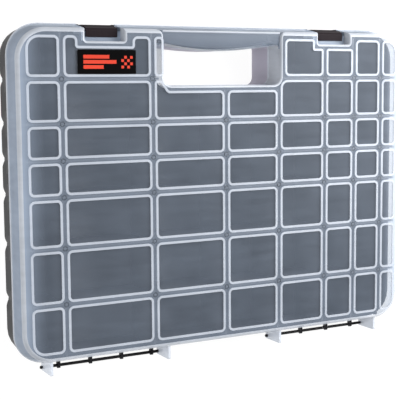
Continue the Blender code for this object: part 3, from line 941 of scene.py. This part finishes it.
class ORGANIZER_OT_lid(bpy.types.Operator):
    """Build the frosted lid with its slot, latch pockets, window panes and hinge fins"""

    bl_idname = "organizer.lid"
    bl_label = "Lid"

    def execute(self, context):
        # lid_face and lid_window get painted light near the lid's left and right edges; thick is the edge
        # colour, thick plastic made lighter as a painted highlight.
        milky, thick = colours().frosted, colours().edge
        materials = [
            frosted("lid_face", 0.19, milky, painted_rim_light=0.33),
            frosted("lid_edge", 0.60, thick, roughness=0.28),
            frosted("lid_wall", 0.42, milky),
            frosted("lid_window", 0.085, milky, roughness=0.28, mist=0.5, painted_rim_light=0.36),
            frosted("lid_inside", 0.06, milky),
            frosted("lid_fin", 0.72, thick),
        ]
        lid = self.shell(materials)
        cavity = self.cavity(materials)
        tools = [cavity]
        tools.append(self.slot_tool(materials))
        tools += self.grip_tools(materials)
        for side, x in LATCHES.items():
            tools += self.pocket_tools(side, x, materials)
        tools.append(self.window_tool(materials))
        combine(lid, "DIFFERENCE", tools)
        fins = self.fins(materials) + [self.grip_ridge(materials)]
        combine(lid, "UNION", fins)
        bores = [self.bore(sign) for sign in HINGES.values()]
        combine(lid, "DIFFERENCE", bores)
        settle(lid)
        discard(*tools, *fins, *bores)
        smooth(lid)
        hand_over(lid, "lid", "lid_frosted", "lid")
        return {"FINISHED"}

    def shell(self, materials):
        round_ = sizes().edge_round
        proud, band = 0.0005, 0.0018
        rings = [at_height(case_outline(RIM_Z, -proud), RIM_Z)]
        rings.append(at_height(case_outline(RIM_Z, -proud), RIM_Z + band))
        rings.append(at_height(case_outline(RIM_Z + band), RIM_Z + band + proud))
        for i in range(FILLET_STEPS + 2):
            angle = math.radians(90 * i / (FILLET_STEPS + 1))
            z = FACE_Z - round_ + round_ * math.sin(angle)
            rings.append(at_height(case_outline(z, round_ * (1 - math.cos(angle))), z))
        zones = [EDGE, EDGE, WALL] + [EDGE] * (FILLET_STEPS + 1)
        return skin("lid_fine", rings, zones, (EDGE, FACE), materials)

    def cavity(self, materials):
        wall = sizes().lid_wall
        ceiling = FACE_Z - wall
        soft = 0.0015
        rings = [at_height(case_outline(RIM_Z, wall), RIM_Z - BEYOND)]
        rings.append(at_height(case_outline(RIM_Z, wall), RIM_Z))
        rings.append(at_height(case_outline(ceiling - soft, wall), ceiling - soft))
        rings.append(at_height(case_outline(ceiling, wall + soft), ceiling))
        cavity = skin("lid_cavity", rings, INSIDE, (INSIDE, INSIDE), materials)
        slot = [at_height(slot_outline(wall), z) for z in (0.0, FACE_Z)]
        keep = [skin("slot_wall", slot, INSIDE, (INSIDE, INSIDE), materials)]
        thick = sizes().grip_drop + sizes().grip_crown + wall
        keep.append(block(
            "grip_thickness",
            (SLOT_LEFT - wall, SLOT_TOP - SLOT_ARCH, FACE_Z - thick),
            (SLOT_RIGHT + wall, RIM_TOP + BEYOND, FACE_Z),
            INSIDE, materials,
        ))
        for side, x in LATCHES.items():
            half = POCKET_HALF + wall
            past = RIM_TOP + BEYOND
            low = (x - half, POCKET_BOTTOM - wall, POCKET_FLOOR_Z - wall)
            keep.append(block(f"{side}_pocket_wall", low, (x + half, past, FACE_Z), INSIDE, materials))
            low = (x - half, RECESS_Y - wall, 0.0)
            keep.append(block(f"{side}_recess_wall", low, (x + half, past, FACE_Z), INSIDE, materials))
        combine(cavity, "DIFFERENCE", keep)
        settle(cavity)
        discard(*keep)
        return cavity

    def slot_tool(self, materials):
        """The hand slot, with a small proud band where the lid meets the tray."""
        rings, zones = flared(slot_outline, RIM_Z + 0.0022, sizes().mouth_round)
        band = [at_height(slot_outline(-0.0005), z) for z in (0.0, RIM_Z + 0.0015)]
        return skin("slot", band + rings, [FIN, FIN] + zones, (FIN, EDGE), materials)

    def grip_ridge(self, materials):
        """A thin ridge along the grip's outer edge."""
        y, z = FACE_TOP - 0.0010, FACE_Z - sizes().grip_drop - 0.0006
        half = arc(y, z, 0.0011, 0, 330, 11)
        rings = [across(half, x) for x in (SLOT_LEFT, SLOT_RIGHT)]
        return skin("grip_ridge", rings, EDGE, (EDGE, EDGE), materials)

    def grip_tools(self, materials):
        """The recess over the grip, and the rounding of the grip's long edges."""
        low = SLOT_TOP - SLOT_ARCH - 0.003
        drop, crown = sizes().grip_drop, sizes().grip_crown

        def outline(grow):
            return notch_outline(SLOT_LEFT, SLOT_RIGHT, low, 0.0005, grow, GRIP_END_ROUND)

        rings, zones = flared(outline, FACE_Z - drop, min(drop, sizes().mouth_round) * 0.98)
        recess = skin("grip_recess", rings, zones, (FACE, EDGE), materials)
        front, back = SLOT_TOP - SLOT_ARCH, RIM_TOP
        half, centre = (back - front) / 2, (back + front) / 2
        steps = 16
        profile = []
        for i in range(steps + 1):
            share = 1.15 * (2 * i / steps - 1)
            sink = (crown if share < 0 else 0.0012) * abs(share) ** 2.6
            profile.append((centre + share * half, FACE_Z - drop - sink))
        profile += [(centre + 1.15 * half, FACE_Z + BEYOND), (centre - 1.15 * half, FACE_Z + BEYOND)]
        ends = [across(profile, x) for x in (SLOT_LEFT, SLOT_RIGHT)]
        return [recess, skin("grip_round", ends, FACE, (WALL, WALL), materials)]

    def pocket_tools(self, side, x, materials):
        def outline(grow):
            return notch_outline(x - POCKET_HALF, x + POCKET_HALF, POCKET_BOTTOM, POCKET_CORNER, grow)

        rings, zones = flared(outline, POCKET_FLOOR_Z, sizes().mouth_round)
        pocket = skin(f"{side}_pocket", rings, zones, (WALL, EDGE), materials)
        past = RIM_TOP + BEYOND
        low = (x - POCKET_HALF, RECESS_Y, 0.0)
        recess = block(f"{side}_recess", low, (x + POCKET_HALF, past, FACE_Z + BEYOND), WALL, materials)
        return [pocket, recess]

    def window_tool(self, materials):
        """Every window's shallow pane, as one set of cutters."""
        bm = bmesh.new()
        inset = sizes().bead_width / 2 - 0.0006
        floor = FACE_Z - sizes().window_depth
        for corners in window_corners():
            outline = filleted(corners, inset)
            rings = [at_height(outline, floor), at_height(outline, FACE_Z + BEYOND)]
            add_skin(bm, rings, EDGE, (WINDOW, WINDOW))
        return from_bmesh("window_panes", bm, materials)

    def fins(self, materials):
        """The four blades that carry the hinge pins."""
        wall = sizes().lid_wall
        clear = RIM_BOTTOM - 0.0015
        shelf = RIM_Z + 0.0003
        top = FACE_Z - sizes().edge_round
        soft = 0.0012
        tip = LID_LOW.y
        profile = [(clear, FIN_BACK_Z), (clear, shelf), (RIM_BOTTOM + wall / 2, shelf)]
        profile += [(FACE_BOTTOM + wall / 2, top)]
        profile += arc(tip + soft, top - soft, soft, 90, 180, 4)
        profile += arc(tip + soft, FIN_BACK_Z + soft, soft, 180, 270, 4)
        fins = []
        for side, sign in HINGES.items():
            for place in FIN_PLACES:
                x = sign * place
                ends = [across(profile, x - FIN_HALF), across(profile, x + FIN_HALF)]
                fins.append(skin(f"{side}_fin", ends, FIN, (FIN, FIN), materials))
        return fins

    def bore(self, sign):
        ends = sorted(sign * place for place in (FIN_PLACES[0] - 0.004, FIN_PLACES[1] + 0.004))
        circle = arc(HINGE_AXIS_Y, HINGE_AXIS_Z, HINGE_BORE_RADIUS, 0, 345, 23)
        return skin("fin_bore", [across(circle, x) for x in ends])


class ORGANIZER_OT_beads(bpy.types.Operator):
    """Sweep a grooved bead round every window and put a small ring on every crossing"""

    bl_idname = "organizer.beads"
    bl_label = "Window beads"

    def execute(self, context):
        # The bead takes the lighter edge colour: thick plastic, and a painted highlight along each bead.
        finish = frosted("lid_bead", 0.44, colours().edge, roughness=0.2)
        section = loop_object("bead_section", [bead_profile()])
        outlines = [at_height(filleted(corners), FACE_Z) for corners in window_corners()]
        beads = loop_object("window_beads", outlines)
        bead_tree().run_on(beads, {
            "Section": section,
            "Width": sizes().bead_width,
            "Height": sizes().bead_height,
            "Finish": finish,
        })
        discard(section)
        outward(beads)
        smooth(beads, 50)
        hand_over(beads, "lid", "lid_frosted", "lid")
        crossings = [[(x, y, FACE_Z)] for x in COLUMNS for y in ROWS if self.shown(x, y)]
        marks = loop_object("crossing_rings", crossings)
        shaded = frosted("lid_mark", 0.85, shade_of(colours().frosted, 0.16))
        mark_tree().run_on(marks, {"Radius": 0.0022, "Thickness": 0.0005, "Finish": shaded})
        outward(marks)
        smooth(marks, 60)
        hand_over(marks, "lid", "lid_frosted", "lid")
        return {"FINISHED"}

    def shown(self, x, y):
        clear = 0.004
        return not (SLOT_LEFT - clear < x < SLOT_RIGHT + clear and y > SLOT_BOTTOM - clear)


def outward(made):
    """Turns every face of closed shells outwards."""
    bm = bmesh.new()
    bm.from_mesh(made.data)
    bmesh.ops.remove_doubles(bm, verts=bm.verts, dist=1e-6)
    bmesh.ops.recalc_face_normals(bm, faces=bm.faces)
    bm.to_mesh(made.data)
    bm.free()


class ORGANIZER_OT_label(bpy.types.Operator):
    """Lay the black label on the lid, with a plain striped and chequered print"""

    bl_idname = "organizer.label"
    bl_label = "Label"

    def execute(self, context):
        card = moulded("label_card", (0.003, 0.0028, 0.003), 0.5, 0.01, 2500.0, 0.00001)
        ink = moulded("label_print", colours().stripe, 0.5, 0.1, 2500.0, 0.00001)
        low, high = LABEL_LOW, LABEL_HIGH
        outline = rounded_rectangle(low.x, high.x, low.y, high.y, 0.0008)
        rings = [at_height(outline, low.z), at_height(outline, high.z)]
        plate = skin("label_plate", rings, 0, (0, 0), [card])
        softened(plate, 0.00012)
        smooth(plate)
        hand_over(plate, "lid", "label_black", "front_label")
        bm = bmesh.new()
        self.add_print(bm, low, high)
        ink_layer = from_bmesh("label_stripes", bm, [ink])
        hand_over(ink_layer, "lid", "label_black", "front_label")
        return {"FINISHED"}

    def add_print(self, bm, low, high):
        """Three bars of unlike length beside a chequer of small squares."""
        width, height = high.x - low.x, high.y - low.y
        base, top = high.z - 0.00001, high.z + 0.00005
        centre = (low.y + high.y) / 2
        bar = 0.075 * height
        for i, length in enumerate((0.44, 0.56, 0.34)):
            y = centre + (1 - i) * 0.21 * height
            start = low.x + 0.10 * width
            end = low.x + (0.10 + length) * width
            add_block(bm, (start, y - bar, base), (end, y + bar, top))
        side = 0.135 * height
        for row in range(4):
            for column in range(4):
                if (row + column) % 2 == 0:
                    x = low.x + 0.745 * width + column * side
                    y = centre + (row - 2) * side
                    add_block(bm, (x, y, base), (x + 0.86 * side, y + 0.86 * side, top))


class ORGANIZER_OT_latches(bpy.types.Operator):
    """Build the two latches with their hooked lips and ribbed grips"""

    bl_idname = "organizer.latches"
    bl_label = "Latches"

    def execute(self, context):
        finish = brushed("latch_plastic", colours().latch, 0.42, 0.05)
        for side in LATCHES:
            node = f"{side}_latch"
            latch = self.latch(node, finish)
            hand_over(latch, node, "latch_black", node)
        return {"FINISHED"}

    def latch(self, node, finish):
        low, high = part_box(node)
        axis_y, axis_z = middle(f"{node}_pin", 1), middle(f"{node}_pin", 2)
        barrel = high.y - axis_y
        plate, slope, lip, crest = 0.0023, 0.0037, 0.0094, 0.0032
        outer_top = high.y - slope
        profile = arc(axis_y, axis_z, barrel, 0, -225, 20)
        profile += [(high.y - plate - slope * 0.2, RIM_Z), (outer_top - plate, high.z - plate)]
        tip = outer_top - lip
        profile += arc(tip + plate * 0.4, high.z - plate * 0.6, plate * 0.4, 250, 90, 5)
        profile += arc(outer_top - crest, high.z - crest, crest, 90, 20, 6)
        ribs = 4
        for i in range(ribs):
            z = mixed(high.z - 0.006, RIM_Z + 0.004, i / (ribs - 1))
            y = mixed(outer_top, high.y, (high.z - z) / (high.z - RIM_Z))
            rib = ((0, 0.0007), (0.0004, 0.0003), (0.0004, -0.0003), (0, -0.0007))
            profile += [(y + out, z + up) for out, up in rib]
        ends = [across(profile, low.x), across(profile, high.x)]
        latch = skin(f"{node}_fine", ends, 0, (0, 0), [finish])
        circle = arc(axis_y, axis_z, LATCH_BORE_RADIUS, 0, 345, 23)
        bore = skin("latch_bore", [across(circle, low.x - 0.01), across(circle, high.x + 0.01)])
        combine(latch, "DIFFERENCE", [bore])
        settle(latch)
        discard(bore)
        softened(latch, 0.0003)
        return smooth(latch)


class ORGANIZER_OT_pins(bpy.types.Operator):
    """Turn the hinge and latch pins, with chamfered ends"""

    bl_idname = "organizer.pins"
    bl_label = "Pins"

    def execute(self, context):
        finish = moulded("pin_black", shade_of(colours().black, 0.5), 0.4, 0.15)
        for side in LATCHES:
            for node in (f"{side}_hinge_pin", f"{side}_latch_pin"):
                pin = self.pin(node, finish)
                hand_over(pin, frame["nodes"][node]["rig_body"], "pin_black", node)
        return {"FINISHED"}

    def pin(self, node, finish):
        low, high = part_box(node)
        y, z = (low.y + high.y) / 2, (low.z + high.z) / 2
        radius = (high.z - low.z) / 2 + (0.0002 if "hinge" in node else 0.0)
        chamfer = 0.3 * radius
        stations = [
            (low.x, radius - chamfer),
            (low.x + chamfer, radius),
            (high.x - chamfer, radius),
            (high.x, radius - chamfer),
        ]
        rings = [across(arc(y, z, size, 0, 345, 23), x) for x, size in stations]
        return smooth(skin(f"{node}_fine", rings, 0, (0, 0), [finish]))


class ORGANIZER_OT_stage(bpy.types.Operator):
    """Set the pale floor, the soft lights and the camera"""

    bl_idname = "organizer.stage"
    bl_label = "Stage"

    def execute(self, context):
        scene = context.scene
        scene.view_settings.view_transform = "Standard"
        matt = {"Base Color": (0.12, 0.12, 0.12), "Roughness": 0.9, "Specular IOR Level": 0.0}
        floor = Finish("pale_floor", matt)
        floor.set("Emission Color", (1.0, 1.0, 1.0))
        floor.set("Emission Strength", 0.93)
        reach = 4.0
        ground = block("floor", (-reach, -reach, -0.02), (reach, reach, -0.0004), 0, [floor.material])
        ground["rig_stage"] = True
        world = bpy.data.worlds.new("studio")
        world.use_nodes = True
        world.node_tree.nodes["Background"].inputs["Color"].default_value = (0.97, 0.985, 1.0, 1)
        world.node_tree.nodes["Background"].inputs["Strength"].default_value = 0.31
        scene.world = world
        self.light("key", (0.48, 0.44, 0.62), (0.02, 0.02, 0.05), 0.6, 7.0)
        self.light("softbox", (1.05, 0.25, 1.0), (0.1, 0.05, 0.05), 0.9, 20.0)
        self.light("fill", (-0.9, -0.1, 0.6), (-0.1, 0.0, 0.05), 0.8, 6.0)
        self.camera(scene)
        return {"FINISHED"}

    def light(self, name, place, target, size, power):
        lamp = bpy.data.lights.new(name, "AREA")
        lamp.shape = "SQUARE"
        lamp.size = size
        lamp.energy = power
        made = link(name, lamp)
        made.location = place
        made.rotation_euler = (Vector(target) - Vector(place)).to_track_quat("-Z", "Y").to_euler()

    def camera(self, scene):
        lens = bpy.data.cameras.new("view")
        lens.lens = 92.15
        lens.sensor_width = 36.0
        made = link("view", lens)
        made.location = (-0.53039, 0.11165, 0.99918)
        made.rotation_euler = [math.radians(angle) for angle in (-6.1368, -27.9849, -0.5085)]
        scene.camera = made


class ORGANIZER_PT_panel(bpy.types.Panel):
    """Sizes, colours and build buttons in the sidebar"""

    bl_idname = "ORGANIZER_PT_panel"
    bl_label = "Parts organizer"
    bl_space_type = "VIEW_3D"
    bl_region_type = "UI"
    bl_category = "Organizer"

    def draw(self, context):
        layout = self.layout
        for group in (context.scene.organizer_sizes, context.scene.organizer_colours):
            for name in group.__annotations__:
                layout.prop(group, name)
        for operator in OPERATORS:
            layout.operator(operator.bl_idname)


OPERATORS = (
    ORGANIZER_OT_tray,
    ORGANIZER_OT_dividers,
    ORGANIZER_OT_lid,
    ORGANIZER_OT_beads,
    ORGANIZER_OT_label,
    ORGANIZER_OT_latches,
    ORGANIZER_OT_pins,
    ORGANIZER_OT_stage,
)
CLASSES = (OrganizerSizes, OrganizerColours, *OPERATORS, ORGANIZER_PT_panel)


def register():
    for each in CLASSES:
        bpy.utils.register_class(each)
    bpy.types.Scene.organizer_sizes = PointerProperty(type=OrganizerSizes)
    bpy.types.Scene.organizer_colours = PointerProperty(type=OrganizerColours)


def unregister():
    del bpy.types.Scene.organizer_sizes
    del bpy.types.Scene.organizer_colours
    for each in reversed(CLASSES):
        bpy.utils.unregister_class(each)


def main():
    register()
    bpy.ops.organizer.tray()
    bpy.ops.organizer.dividers()
    bpy.ops.organizer.lid()
    bpy.ops.organizer.beads()
    bpy.ops.organizer.label()
    bpy.ops.organizer.latches()
    bpy.ops.organizer.pins()
    bpy.ops.organizer.stage()
    boxes = {"cad": CAD_BOX, "visual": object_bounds()}
    boxes = {name: [list(corner) for corner in box] for name, box in boxes.items()}


if __name__ == "__main__":
    main()
